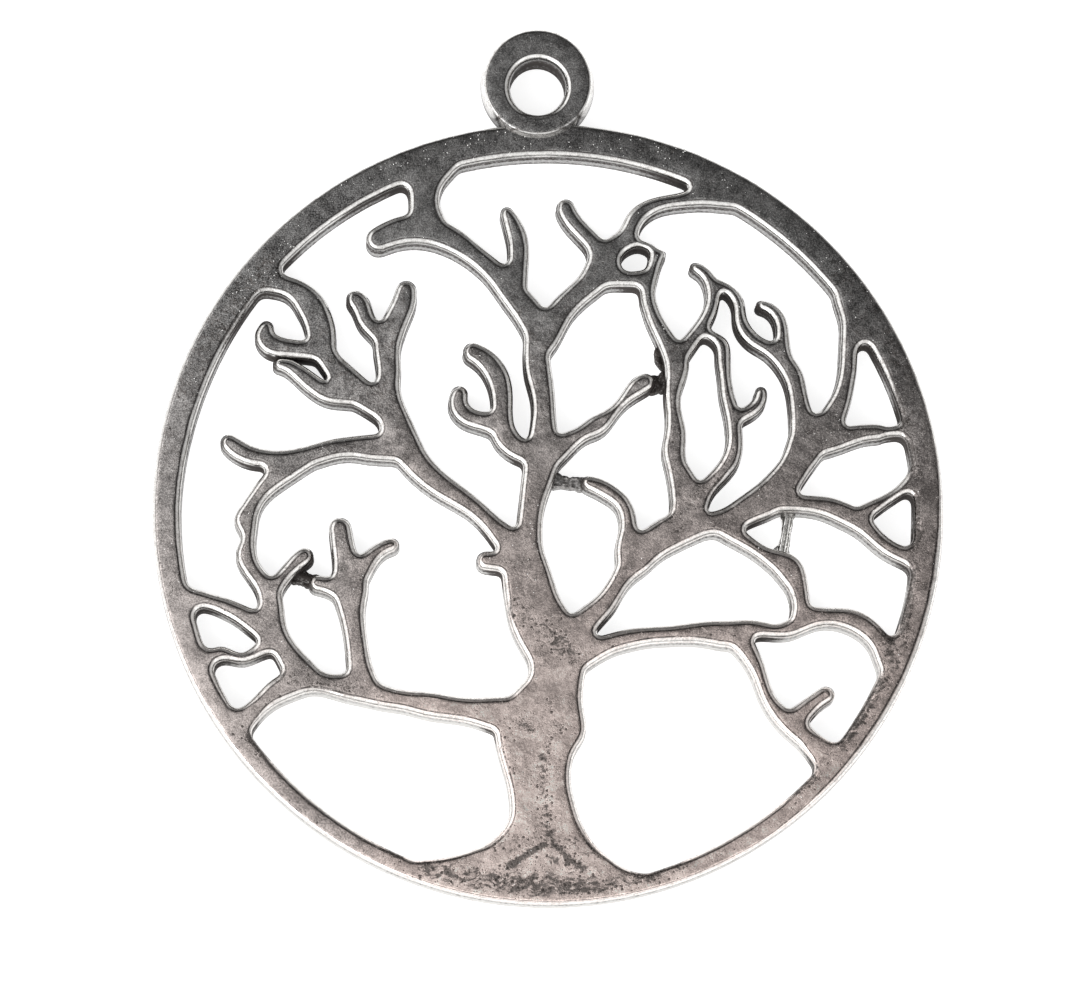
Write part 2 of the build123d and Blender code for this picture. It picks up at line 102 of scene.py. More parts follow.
def softened(values):
    """A closed row of values, each drawn halfway towards the mean of its two neighbours."""
    return 0.25 * np.roll(values, 1, 0) + 0.5 * values + 0.25 * np.roll(values, -1, 0)


def even_loop(loop, step):
    """The same closed outline with its points at even spacing and its small corners softened."""
    closed = np.vstack([loop, loop[:1]])
    lengths = np.r_[0, np.cumsum(np.linalg.norm(np.diff(closed, axis=0), axis=1))]
    count = max(FEWEST_STEPS, round(lengths[-1] / step))
    at = np.linspace(0, lengths[-1], count, endpoint=False)
    even = np.c_[np.interp(at, lengths, closed[:, 0]), np.interp(at, lengths, closed[:, 1])]
    for _ in range(OUTLINE_SOFTENINGS):
        even = softened(even)
    return even


def loop_area(loop):
    """Area of a closed outline: above 0 where it runs anticlockwise, below 0 where clockwise."""
    x, y = loop[:, 0], loop[:, 1]
    return 0.5 * np.sum(x * np.roll(y, -1) - np.roll(x, -1) * y)


def metal_sides(loops):
    """1 for the outermost outline, which has the metal inside, and -1 for a gap's outline."""
    outermost = max(range(len(loops)), key=lambda i: abs(loop_area(loops[i])))
    return [1 if number == outermost else -1 for number in range(len(loops))]


def inward_normals(loop, side):
    """Unit vectors from each point of an outline into the metal on that side of it."""
    along = np.roll(loop, -1, 0) - np.roll(loop, 1, 0)
    along /= np.linalg.norm(along, axis=1)[:, None]
    turn = math.copysign(1, loop_area(loop)) * side
    return np.c_[-along[:, 1], along[:, 0]] * turn


def whole_disc(loops):
    """The plate's outlines: the disc's own circle in place of the one that takes in the hanging loop."""
    count = round(2 * math.pi * DISC_RADIUS / OUTLINE_STEP)
    turn = np.linspace(0, 2 * math.pi, count, endpoint=False)
    circle = np.c_[np.cos(turn), np.sin(turn)] * DISC_RADIUS + DISC_CENTRE
    gaps = [
        even_loop(loop, OUTLINE_STEP)
        for loop, side in zip(loops, metal_sides(loops))
        if side < 0 and np.all(np.linalg.norm(loop - DISC_CENTRE, axis=1) < DISC_RADIUS)
    ]
    return [circle] + [gap - inward_normals(gap, -1) * LIMB_SWELL for gap in gaps]


outlines = whole_disc(section_loops(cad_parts["tree_pendant"], SECTION_HEIGHT))
outline_sides = metal_sides(outlines)
face_outlines = [
    loop + inward_normals(loop, side) * PARTING_LEDGE for loop, side in zip(outlines, outline_sides)
]

# How wide an edge is rounded: the limbs' edges, the rim's outer edge, that edge where it slopes
# more at the lower right, and the rim's inner edge beside the foot.
EDGE_WIDTH = 0.43
RIM_EDGE_WIDTH = 0.24
RIM_SLOPE_WIDTH = 0.50
FOOT_EDGE_WIDTH = 0.28
BACK_EDGE = 0.12
# A point of the face belongs to the rim's outer edge where that edge is the nearest, within this.
RIM_TOLERANCE = 0.06
# Rings of points follow the outlines at these distances, and a grid fills the rest.
FACE_RINGS = (0.05, 0.13, RIM_EDGE_WIDTH, 0.33, EDGE_WIDTH, 0.53)
FACE_GRID = 0.27
FACE_LEAST_SPACING = 0.045
BACK_RINGS = (0.05, BACK_EDGE)
BACK_GRID = 0.9
BACK_LEAST_SPACING = 0.03
# A ring's point stays where no other outline is nearer than this share of the ring's distance.
RING_SHARE = 0.96
GRID_SETBACK = 0.35
SAME_PLACE = 1e-6
LARGEST_BATCH = 4_000_000


def point_tree(points):
    """A search tree over level points."""
    tree = kdtree.KDTree(len(points))
    for index, (x, y) in enumerate(points):
        tree.insert((x, y, 0), index)
    tree.balance()
    return tree


def distances_to(tree, points):
    """Distance from each point to the nearest one in a tree."""
    return np.array([tree.find((x, y, 0))[2] for x, y in points])


def inside(loops, points):
    """Which points lie inside the metal: inside an odd number of the outlines."""
    crossings = np.zeros(len(points), int)
    for loop in loops:
        low, high = loop.min(0), loop.max(0)
        level = (points[:, 1] >= low[1]) & (points[:, 1] <= high[1])
        near = np.where(level & (points[:, 0] <= high[0]))[0]
        for part in np.array_split(near, max(1, len(near) * len(loop) // LARGEST_BATCH)):
            x, y = points[part, 0][:, None], points[part, 1][:, None]
            ax, ay = loop[:, 0], loop[:, 1]
            bx, by = np.roll(ax, -1), np.roll(ay, -1)
            straddles = (ay > y) != (by > y)
            rise = np.where(by == ay, 1.0, by - ay)
            crosses = straddles & (x < ax + (y - ay) / rise * (bx - ax))
            crossings[part] += crosses.sum(1)
    return crossings % 2 == 1


def sheet_points(loops, rings, grid):
    """Points over the metal between the outlines: the outlines, rings that follow them, and a grid."""
    outline = np.vstack(loops)
    tree = point_tree(np.vstack([even_loop(loop, OUTLINE_STEP / 3) for loop in loops]))
    placed, distances = [outline], [np.zeros(len(outline))]
    for ring in rings:
        for loop, side in zip(loops, metal_sides(loops)):
            moved = loop + inward_normals(loop, side) * ring
            reach = distances_to(tree, moved)
            keep = reach > RING_SHARE * ring
            placed.append(moved[keep])
            distances.append(reach[keep])
    low, high = outline.min(0), outline.max(0)
    rows = np.arange(low[1], high[1], grid * math.sqrt(0.75))
    columns = np.arange(low[0], high[0], grid)
    lattice = np.array([(x + (k % 2) * grid / 2, y) for k, y in enumerate(rows) for x in columns])
    lattice = lattice[inside(loops, lattice)]
    reach = distances_to(tree, lattice)
    keep = reach > rings[-1] + GRID_SETBACK * grid
    placed.append(lattice[keep])
    distances.append(reach[keep])
    return np.vstack(placed), np.concatenate(distances), len(outline)


def thin_out(points, distances, fixed, least):
    """Drop points that crowd closer than a least spacing; the first ones are fixed."""
    kept, cells = list(range(fixed)), {}
    for index, (x, y) in enumerate(points):
        column, row = int(x // least), int(y // least)
        near = [
            other
            for dx in (-1, 0, 1)
            for dy in (-1, 0, 1)
            for other in cells.get((column + dx, row + dy), ())
        ]
        if index >= fixed:
            if any((points[o][0] - x) ** 2 + (points[o][1] - y) ** 2 < least**2 for o in near):
                continue
            kept.append(index)
        cells.setdefault((column, row), []).append(index)
    return points[kept], distances[kept]


def triangulate(loops, points):
    """Triangles that cover the metal between the outlines, through all the points."""
    edges, first = [], 0
    for loop in loops:
        edges += [(first + i, first + (i + 1) % len(loop)) for i in range(len(loop))]
        first += len(loop)
    verts, _, faces, origin, _, _ = delaunay_2d_cdt(
        [Vector(p) for p in points], edges, [], 0, SAME_PLACE, True
    )
    new_index = {}
    for index, sources in enumerate(origin):
        for source in sources:
            new_index[source] = index
    faces = np.array([f for f in faces if len(f) == 3])
    places = np.array([tuple(v) for v in verts])
    outline = {new_index[i] for i in range(first)}
    doubtful = np.array([all(v in outline for v in face) for face in faces])
    keep = np.ones(len(faces), bool)
    keep[doubtful] = inside(loops, places[faces[doubtful]].mean(1))
    faces = faces[keep]
    a, b, c = (places[faces[:, k]] for k in range(3))
    turned = (b[:, 0] - a[:, 0]) * (c[:, 1] - a[:, 1]) < (b[:, 1] - a[:, 1]) * (c[:, 0] - a[:, 0])
    faces[turned] = faces[turned][:, ::-1]
    return places, faces, np.array([new_index[i] for i in range(first)])


def sheet(loops, rings, grid, least):
    """One side of a flat piece: points, their distances to the edge, triangles, and the edge's points."""
    points, distances, fixed = sheet_points(loops, rings, grid)
    points, distances = thin_out(points, distances, fixed, least)
    places, triangles, border = triangulate(loops, points)
    tree = point_tree(points)
    reach = np.array([distances[tree.find((x, y, 0))[1]] for x, y in places])
    return places, reach, triangles, border


face_places, face_reach, face_triangles, face_border = sheet(
    face_outlines, FACE_RINGS, FACE_GRID, FACE_LEAST_SPACING
)
back_places, back_reach, back_triangles, back_border = sheet(
    outlines, BACK_RINGS, BACK_GRID, BACK_LEAST_SPACING
)

# How far the face falls at its edge, how much the width of that edge wanders, the height of the
# face's waves, and the depth and reach of the gentle fall that leads up to the edge.
EDGE_FALL = 0.46
EDGE_SWAY = 0.30
FACE_WAVE = 0.018
FACE_PILLOW = 0.03
PILLOW_REACH = 0.25
WALL_ROUGHNESS = 0.025
# Columns: height of a row of the wall and how far it lies inside the outline, in millimetres.
WALL_ROWS = [
    (1.60, 0.050),
    (1.30, 0.045),
    (1.14, 0.004),
    (0.85, 0.000),
    (0.45, 0.015),
]


def rising(values, start, end):
    """From 0 where the values are at start to 1 where they are at end."""
    return np.clip((values - start) / (end - start), 0, 1)


def quarter_round(distance, width, fall):
    """Depth below the face at a distance from the edge, for an edge rounded over a width and a fall."""
    share = np.clip(1 - distance / width, 0, 1)
    return fall * (1 - np.sqrt(1 - share**2))


def noise_over(points, scale, layer):
    """Smooth noise at each level point; each layer has a pattern of its own."""
    return np.array([noise.noise(Vector((x * scale, y * scale, layer))) for x, y in points])


def edge_widths(places, reach, from_rim):
    """How wide the edge nearest to each point of the face is rounded."""
    x, y = places.T
    on_slope = rising(x, 14, 20) * rising(y, 0, -6)
    outer = RIM_EDGE_WIDTH + (RIM_SLOPE_WIDTH - RIM_EDGE_WIDTH) * on_slope
    by_foot = rising(from_rim, 3.4, 2.6) * rising(y, -13, -17)
    inner = EDGE_WIDTH + (FOOT_EDGE_WIDTH - EDGE_WIDTH) * by_foot
    return np.where(from_rim < reach + RIM_TOLERANCE, outer, inner)


def wall_points(loop, side):
    """The rows of points of an upright wall, from the top row down, pushed a little into the metal."""
    normals = inward_normals(loop, side)
    points = []
    for level, inset in WALL_ROWS:
        for (x, y), (nx, ny) in zip(loop, normals):
            bulge = noise.noise(Vector((x * 2.1, y * 2.1, level * 3.0)))
            grit = noise.noise(Vector((x * 6.3, y * 6.3, level * 9.0)))
            push = inset + WALL_ROUGHNESS * (0.6 * bulge + 0.4 * grit + 0.5)
            points.append((x + nx * push, y + ny * push, level))
    return points


def band(upper, lower, anticlockwise):
    """Four-sided faces between two closed rows of points, facing out of the metal."""
    quads = np.c_[upper, lower, np.roll(lower, -1), np.roll(upper, -1)]
    return [tuple(quad) for quad in (quads if anticlockwise else quads[:, ::-1])]


def by_outline(values):
    """A row of values, one for each point of the plate's outlines, cut into a row for each outline."""
    return np.split(values, np.cumsum([len(loop) for loop in outlines])[:-1])


from_rim = DISC_RADIUS - np.linalg.norm(face_places - DISC_CENTRE, axis=1)
edge_width = edge_widths(face_places, face_reach, from_rim)
swayed_width = edge_width * (1 + EDGE_SWAY * noise_over(face_places, 0.9, 8.0))
face_heights = PLATE_THICKNESS - quarter_round(face_reach, swayed_width, EDGE_FALL)
face_heights += (noise_over(face_places, 0.55, 3.0) - 0.5) * FACE_WAVE * rising(face_reach, 0, edge_width)
face_heights -= FACE_PILLOW * np.exp(-face_reach / PILLOW_REACH)
face_heights = np.minimum(face_heights, PLATE_THICKNESS)
back_heights = quarter_round(back_reach, BACK_EDGE, BACK_EDGE)

back_first = len(face_places)
wall_first = back_first + len(back_places)
face_rims = by_outline(face_border)
back_rims = by_outline(back_border + back_first)
plate_points = [*np.c_[face_places, face_heights], *np.c_[back_places, back_heights]]
plate_faces = [tuple(t) for t in face_triangles] + [tuple(back_first + t[::-1]) for t in back_triangles]
for loop, side, face_rim, back_rim in zip(outlines, outline_sides, face_rims, back_rims):
    first = len(plate_points)
    plate_points += wall_points(loop, side)
    wall_rows = np.arange(first, len(plate_points)).reshape(len(WALL_ROWS), len(loop))
    rows = np.vstack([face_rim, wall_rows, back_rim])
    for upper, lower in zip(rows, rows[1:]):
        plate_faces += band(upper, lower, loop_area(loop) * side > 0)

# Where the patina stays, and, in the last seven rows along the rim's inner edge, painted shade on edges
# that show dark. Columns: start x and y, end x and y, width, all in millimetres, and strength.
SOIL_AND_SHADE_MARKS = [
    (-0.45, -18.6, -0.40, -21.2, 0.30, 0.84),
    (-0.30, -21.2, 0.05, -23.6, 0.30, 0.80),
    (0.30, -17.2, -0.40, -19.6, 0.22, 0.78),
    (0.40, -16.7, 0.85, -16.9, 0.45, 0.82),
    (-1.60, -16.7, -1.05, -17.0, 0.60, 0.78),
    (-0.15, -15.5, 0.25, -15.7, 0.40, 0.60),
    (0.40, -11.3, 1.20, -12.0, 1.15, 0.80),
    (-2.10, -9.6, -0.30, -10.6, 1.00, 0.62),
    (-0.10, -23.4, 0.10, -23.6, 0.50, 0.90),
    (-0.30, -24.3, -2.50, -25.7, 0.40, 1.10),
    (0.30, -24.3, 2.10, -25.9, 0.38, 1.05),
    (0.10, -25.2, 1.10, -25.5, 0.50, 0.72),
    (-0.30, -24.3, 0.75, -24.8, 0.35, 0.60),
    (-7.60, -26.0, -3.00, -26.7, 1.15, 0.80),
    (-3.00, -26.8, 3.00, -27.0, 1.30, 0.84),
    (3.00, -26.9, 7.00, -26.2, 0.90, 0.72),
    (-2.60, -24.4, 2.40, -24.6, 1.80, 0.55),
    (-0.30, -18.6, -0.10, -24.0, 0.80, 0.50),
    (-3.00, -21.0, -2.40, -17.0, 0.80, 0.36),
    (4.80, -26.4, 8.50, -25.6, 0.55, 0.72),
    (-3.20, -25.9, 3.40, -26.0, 0.20, 0.60),
    (21.2, -10.6, 21.8, -13.2, 0.80, 0.76),
    (18.7, -17.4, 15.0, -21.3, 0.60, 0.60),
    (-16.6, -13.8, -12.4, -14.6, 0.60, 0.62),
    (-8.2, -13.6, -5.0, -13.9, 0.30, 0.70),
    (9.6, -8.6, 13.6, -8.4, 0.35, 0.62),
    (-20.6, 8.4, -18.0, 12.6, 1.30, 0.55),
    (7.6, -4.0, 10.6, -1.2, 0.70, 0.55),
    (-18.6, -17.8, -14.2, -21.4, 0.70, 0.55),
    # These rows darken the rim's inner edge and take its shine off: painted shade, with some patina.
    (23.2, -2.3, 23.2, -5.2, 0.60, 0.90),
    (20.2, 7.3, 22.7, 2.5, 0.60, 0.80),
    (22.7, 1.5, 23.2, -0.9, 0.60, 0.80),
    (23.1, -6.6, 22.3, -11.4, 0.60, 0.90),
    (21.1, -13.9, 18.5, -18.1, 0.60, 0.90),
    (17.1, -19.8, 6.1, -26.5, 0.45, 0.85),
    (-18.9, -17.6, -9.3, -25.1, 0.50, 0.80),
]
# Where the face is rubbed lighter. Same columns.
RUBBED_MARKS = [
    (3.4, 3.1, 6.0, 5.0, 1.00, 1.00),
    (1.4, 0.6, 3.6, 3.0, 1.20, 0.60),
    (-9.6, 9.4, -10.2, 4.0, 0.90, 0.70),
    (-13.2, 8.6, -10.9, 6.0, 0.90, 0.70),
    (-5.4, 5.6, -3.2, 2.0, 1.10, 0.80),
    (-6.6, 2.2, -3.6, 0.0, 1.10, 0.70),
    (-17.6, 6.4, -11.4, 4.6, 1.00, 0.50),
    (-16.4, 3.2, -9.6, 1.2, 1.10, 0.70),
    (-21.2, -1.8, -9.0, -1.0, 1.20, 0.65),
    (-20.0, -3.0, -20.6, -8.0, 1.20, 0.70),
    (-17.0, -9.0, -13.0, -6.6, 1.10, 0.60),
    (-6.0, 12.0, -5.2, 8.8, 1.00, 0.60),
    (2.6, 3.8, 6.6, -4.0, 1.00, 0.40),
    (8.2, 5.8, 9.4, -1.6, 0.90, 0.45),
    (11.2, 1.0, 9.2, -2.4, 0.90, 0.60),
    (-0.4, 9.0, -0.9, 1.0, 1.00, 0.35),
]
# Where small bright grains stand on the face. Same columns.
GRAIN_FIELDS = [
    (-16.0, 17.6, -4.0, 20.9, 1.6, 1.00),
    (-4.0, 20.9, 9.0, 20.2, 1.5, 0.90),
    (-19.6, 10.0, -16.5, 13.6, 1.4, 1.20),
    (-9.0, 13.5, -3.6, 9.4, 1.4, 0.60),
    (-22.9, -8.0, -21.6, 4.0, 1.2, 0.60),
    (-1.4, -4.8, -1.8, -9.0, 1.3, 0.80),
    (14.0, 1.2, 20.0, 2.4, 2.0, 0.45),
    (9.0, 20.2, 19.5, 12.4, 1.3, 0.35),
]
EVERYWHERE = 0.10
# A wall is sheltered by one that it faces squarely enough, between these two distances.
# The black crust that sheltered walls get is partly patina and partly painted shade for the narrow slots.
SHELTER_REACH = 2.0
SHELTER_NEAREST = 0.3
SHELTER_SQUARENESS = 0.6
SHELTER_SOFTENINGS = 6
# The marks of patina and painted shade fade out over this stretch towards the rim's outer edge.
SOIL_FADE = (0.2, 0.6)
# An edge is worn bright from its outline inwards, but least on the outline itself, which leaves a thin
# dark outline there: painted shade for the dark reflection of the steep edge.
WEAR = 1.35
WEAR_AT_OUTLINE = 0.15
WEAR_RISE = 0.08


def strokes_at(points, strokes):
    """How strongly a table of strokes marks each point: full along a stroke, fading out at its width."""
    marked = np.zeros(len(points))
    for x0, y0, x1, y1, width, strength in strokes:
        run = np.array([x1 - x0, y1 - y0])
        share = np.clip(((points - (x0, y0)) @ run) / (run @ run), 0, 1)
        away = np.linalg.norm(points - (x0, y0) - share[:, None] * run, axis=1)
        marked = np.maximum(marked, strength * np.clip(1 - (away / width) ** 2, 0, 1))
    return marked


def gap_shelter(loops, sides):
    """From 0 on an open wall to 1 in a narrow slot, for every outline point."""
    points = np.vstack(loops)
    outward = -np.vstack([inward_normals(loop, side) for loop, side in zip(loops, sides)])
    tree = point_tree(points)
    sheltered = np.zeros(len(points))
    for index, (x, y) in enumerate(points):
        for place, _, away in tree.find_range((x, y, 0), SHELTER_REACH):
            if away > SHELTER_NEAREST:
                facing = ((place.x - x) * outward[index][0] + (place.y - y) * outward[index][1]) / away
                if facing > SHELTER_SQUARENESS:
                    sheltered[index] = max(sheltered[index], 1 - away / SHELTER_REACH)
    return sheltered


def over_face(values):
    """One value for each point of the plate: the given ones on the face and 0 elsewhere."""
    return np.r_[values, np.zeros(len(plate_points) - back_first)]


shelter = np.zeros(len(plate_points))
wall_shelter = []
outline_shelter = by_outline(gap_shelter(outlines, outline_sides))
for shelter_here, face_rim, back_rim in zip(outline_shelter, face_rims, back_rims):
    for _ in range(SHELTER_SOFTENINGS):
        shelter_here = softened(shelter_here)
    shelter[face_rim] = shelter_here
    shelter[back_rim] = shelter_here
    wall_shelter += [shelter_here] * len(WALL_ROWS)
shelter[wall_first:] = np.concatenate(wall_shelter)

edge_wear_and_shade = np.clip(WEAR - WEAR * face_reach / edge_width, 0, 1)
edge_wear_and_shade *= np.clip(WEAR_AT_OUTLINE + face_reach / WEAR_RISE, 0, 1)
face_soil = strokes_at(face_places, SOIL_AND_SHADE_MARKS) * rising(from_rim, *SOIL_FADE)
on_wall = np.ones(len(plate_points))
on_wall[:wall_first] = np.r_[face_reach, back_reach] <= 0


def smooth_mesh(name, points, faces, **fields):
    """A smooth mesh from points in millimetres, with one number a point for each field of the finish."""
    mesh = bpy.data.meshes.new(name)
    mesh.from_pydata([(x * MM, y * MM, z * MM) for x, y, z in points], [], faces)
    for field, values in fields.items():
        stored = mesh.attributes.new(field, "FLOAT", "POINT")
        stored.data.foreach_set("value", np.asarray(values, np.float32))
    mesh.validate()
    mesh.shade_smooth()
    return mesh


def in_scene(name, data):
    """A new object in the scene for a mesh, a light or the camera."""
    made = bpy.data.objects.new(name, data)
    bpy.context.scene.collection.objects.link(made)
    return made


plate_mesh = smooth_mesh(
    "plate_and_tree",
    plate_points,
    plate_faces,
    shelter=shelter,
    soil=over_face(face_soil),
    rubbed=over_face(strokes_at(face_places, RUBBED_MARKS)),
    worn=over_face(edge_wear_and_shade),
    wall=on_wall,
    grain_field=over_face(np.maximum(strokes_at(face_places, GRAIN_FIELDS), EVERYWHERE)),
)
plate = in_scene("plate_and_tree", plate_mesh)


class Wire:
    """One socket of a node that can be added, multiplied and compared like a number."""

    def __init__(self, tree, socket=None):
        self.tree = tree
        self.socket = socket

    def node(self, kind, settings=None, output=0, **values):
        """Add a node: its settings first, then the values or links of its sockets."""
        made = self.tree.nodes.new(kind)
        for name, value in (settings or {}).items():
            setattr(made, name, value)
        for name, value in values.items():
            key = int(name[1:]) if name[0] == "i" and name[1:].isdigit() else name.replace("_", " ")
            if isinstance(value, Wire):
                self.tree.links.new(value.socket, made.inputs[key])
            else:
                made.inputs[key].default_value = value
        return Wire(self.tree, made.outputs[output] if made.outputs else None)

    def math(self, operation, other, swapped=False):
        first, second = (other, self) if swapped else (self, other)
        return self.node("ShaderNodeMath", {"operation": operation}, i0=first, i1=second)

    def __add__(self, other):
        return self.math("ADD", other)

    __radd__ = __add__

    def __sub__(self, other):
        return self.math("SUBTRACT", other)

    def __rsub__(self, other):
        return self.math("SUBTRACT", other, swapped=True)

    def __mul__(self, other):
        return self.math("MULTIPLY", other)

    __rmul__ = __mul__

    def at_most(self, other):
        return self.math("MINIMUM", other)

    def at_least(self, other):
        return self.math("MAXIMUM", other)

    def ramp(self, low, high, start=0.0, end=1.0):
        """Run smoothly from start to end while this goes from low to high."""
        return self.node(
            "ShaderNodeMapRange",
            {"interpolation_type": "SMOOTHSTEP", "clamp": True},
            Value=self,
            From_Min=low,
            From_Max=high,
            To_Min=start,
            To_Max=end,
        )

    def tint(self, low, high, share):
        """A colour between two others."""
        return self.node("ShaderNodeMix", {"data_type": "RGBA"}, output=2, i0=share, i6=low, i7=high)

    def vector(self, operation, first, output=0, **values):
        """What one Vector Math node makes of a vector and other values."""
        return self.node("ShaderNodeVectorMath", {"operation": operation}, output, i0=first, **values)

    def part(self, axis):
        """One of the three numbers of a vector."""
        return self.node("ShaderNodeSeparateXYZ", output=axis, i0=self)

    def other(self, output):
        """Another output of the same node."""
        return Wire(self.tree, self.socket.node.outputs[output])


def blank_material(name):
    """A material with no nodes yet, and the wire that they start from."""
    material = bpy.data.materials.new(name)
    material.use_nodes = True
    material.node_tree.nodes.clear()
    return material, Wire(material.node_tree)


# The face's colour runs from TOP_GREY to FOOT_GREY, lighter and warmer towards the foot: painted
# reflection of the tent's brighter lower side.
TOP_GREY = (0.325, 0.32, 0.315, 1)
FOOT_GREY = (0.90, 0.755, 0.70, 1)
EDGE_SILVER = (0.80, 0.79, 0.77, 1)
# WALL_SILVER and WALL_GREY: the walls at the foot and above; the change between them is painted
# reflection.
WALL_SILVER = (0.50, 0.49, 0.475, 1)
WALL_GREY = (0.36, 0.355, 0.35, 1)
# PATINA_AND_SHADE: the black of the patina, also used for painted shade lines along the edges and for the
# crust on the walls.
PATINA_AND_SHADE = (0.050, 0.043, 0.040, 1)
SMEAR = (0.175, 0.155, 0.145, 1)
RELIEF_DEPTH = 0.035


def silver_finish():
    """Antique silver: grey alloy, lighter and warmer towards the foot as painted reflection, bright on
    worn edges with painted dark lines, black where it is sheltered, partly as patina and partly as
    painted shade.
    """
    material, start = blank_material("antique_silver")
    here = start.vector("SCALE", start.node("ShaderNodeTexCoord", output=3), Scale=1 / MM)

    def field(name):
        return start.node("ShaderNodeAttribute", {"attribute_name": name}, output=2)

    def speckle(scale, detail=3.0, roughness=0.6, place=here):
        return start.node(
            "ShaderNodeTexNoise", Vector=place, Scale=scale, Detail=detail, Roughness=roughness
        )

    def stirred(scale, detail, reach):
        """The place, moved by up to the reach, in swirls of one scale."""
        swirls = start.node("ShaderNodeTexNoise", output=1, Vector=here, Scale=scale, Detail=detail)
        return start.vector("MULTIPLY_ADD", swirls, i1=(reach,) * 3, i2=here)

    x, y, z = here.part(0), here.part(1), here.part(2)
    soiled, sheltered, wall = field("soil"), field("shelter"), field("wall")
    # Narrow slots and the marks take the shine off the edges: partly patina, and partly painted shade.
    worn = field("worn") * (1.0 - sheltered * 1.6 - soiled * 0.9).at_least(0.0)
    grit = speckle(10.0)
    grain = speckle(3.6, 4.0, 0.65)
    clouds = speckle(0.6)
    crumbs = speckle(6.0, 3.0, 0.7)
    flecks = speckle(11.0, 1.0, 0.5)
    mottle = speckle(1.5, 4.0, 0.65)
    swept = start.vector("MULTIPLY", stirred(0.7, 1.0, 1.6), i1=(0.50, 1.25, 1.0))
    streaks = speckle(2.8, 5.0, 0.7, swept)

    # Where on the pendant the colour changes: the loop's end of the rim, the foot, the two sides. The
    # lighter foot is painted reflection, and the lighter left and darker right are painted light and
    # shade.
    outwards = start.vector("DISTANCE", here, output=1, i1=(*DISC_CENTRE, PLATE_THICKNESS))
    # The face is made darker at the loop's end of the rim.
    darker_rim_top = outwards.ramp(21.0, 23.5) * outwards.ramp(25.6, 24.8) * y.ramp(1.0, 13.0)
    lively = (clouds.ramp(0.38, 0.60) * y.ramp(18.0, 7.0)).at_least(0.15)
    foot = y.ramp(14.0, -22.0)
    foot = foot * (foot * 0.25 + 0.75)
    left = x.ramp(-14.0, -24.0)
    right = x.ramp(10.0, 24.0)
    grey_side = x.ramp(-8.0, -14.0)
    upper = y.ramp(-17.0, 6.0)

    pit_places = stirred(9.0, 2.0, 0.14)

    def pitted(scale, share, pull):
        """Round pits of one size: a share of them anywhere, more where the face is soiled."""
        cells = start.node("ShaderNodeTexVoronoi", Vector=pit_places, Scale=scale)
        chosen = cells.other(1).part(0) + soiled * pull + lively * share
        return cells.ramp(0.40, 0.22) * chosen.ramp(0.97, 1.0)

    pits = pitted(7.0, 0.07, 0.95).at_least(pitted(3.4, 0.015, 0.72))

    # The face: grey alloy, lighter and warmer towards the foot as painted reflection, with thin smears of
    # patina, fine light and dark flecks, painted light on the left and painted shade on the right, and
    # pits.
    face = start.tint(TOP_GREY, FOOT_GREY, foot * (1.0 - grey_side * 0.58))
    smear = (grain * 0.45 + grit * 0.25 + streaks * 0.30).ramp(0.44, 0.62)
    face = start.tint(face, SMEAR, smear * (lively * 0.75 + 0.15) * (1.0 - foot * 0.6))
    marks = (soiled + streaks * 2.2 + grain * 0.5 - 1.93).ramp(0.0, 0.34)
    face = start.tint(face, SMEAR, marks * 0.92)
    fleck_and_side_light = flecks.ramp(0.36, 0.66, -0.28, 0.39) * (1.0 - foot * 0.6 + grey_side * 0.4) + 1.0
    fleck_and_side_light = fleck_and_side_light + mottle.ramp(0.36, 0.64, -0.26, 0.30) * (1.0 - foot * 0.25) - darker_rim_top * 0.20
    # The left side is lightened and the right darkened: painted light and painted shade.
    fleck_and_side_light = fleck_and_side_light + left * (foot * 0.35 + 0.15) - right * 0.10
    fleck_and_side_light = fleck_and_side_light + field("rubbed") * mottle.ramp(0.36, 0.60, 0.15, 0.75)
    face = start.vector("SCALE", face, Scale=fleck_and_side_light)
    face = start.tint(face, PATINA_AND_SHADE, pits * 0.85)

    # The edges: polished silver with a dark, broken line painted along the outline and where it meets the
    # face, which is painted shade for the dark reflection of the edge's steep part.
    dulled = (grain * 0.4 + mottle * 0.4 + grit * 0.2).ramp(0.44, 0.66)
    edge = start.tint(EDGE_SILVER, SMEAR, dulled * 0.65)
    edge_shade_line = worn.ramp(0.02, 0.10) * worn.ramp(0.42, 0.28) * crumbs.ramp(0.35, 0.55, 0.35, 0.85)
    colour = start.tint(start.tint(face, edge, worn), PATINA_AND_SHADE, edge_shade_line)

    # The walls: lighter at the foot and greyer above, which is painted reflection, with a black crust in
    # slots, along the parting and low down in the upper half, partly patina and partly painted shade.
    side = start.tint(WALL_SILVER, WALL_GREY, upper)
    colour = start.tint(colour, side, wall.ramp(0.2, 0.9))
    valley = z.ramp(1.08, 1.25) * z.ramp(2.1, 1.85) * (upper * 0.4 + 0.55)
    black = sheltered * 2.2 + crumbs * 3.2 + grit * 1.2 + valley * 0.8 + upper * 0.35 - 2.45
    black = black + z.ramp(0.80, 0.15) * upper * 0.55
    crust_and_shade_share = black.at_most(1.0).at_least(0.0) * wall.ramp(0.2, 0.9)

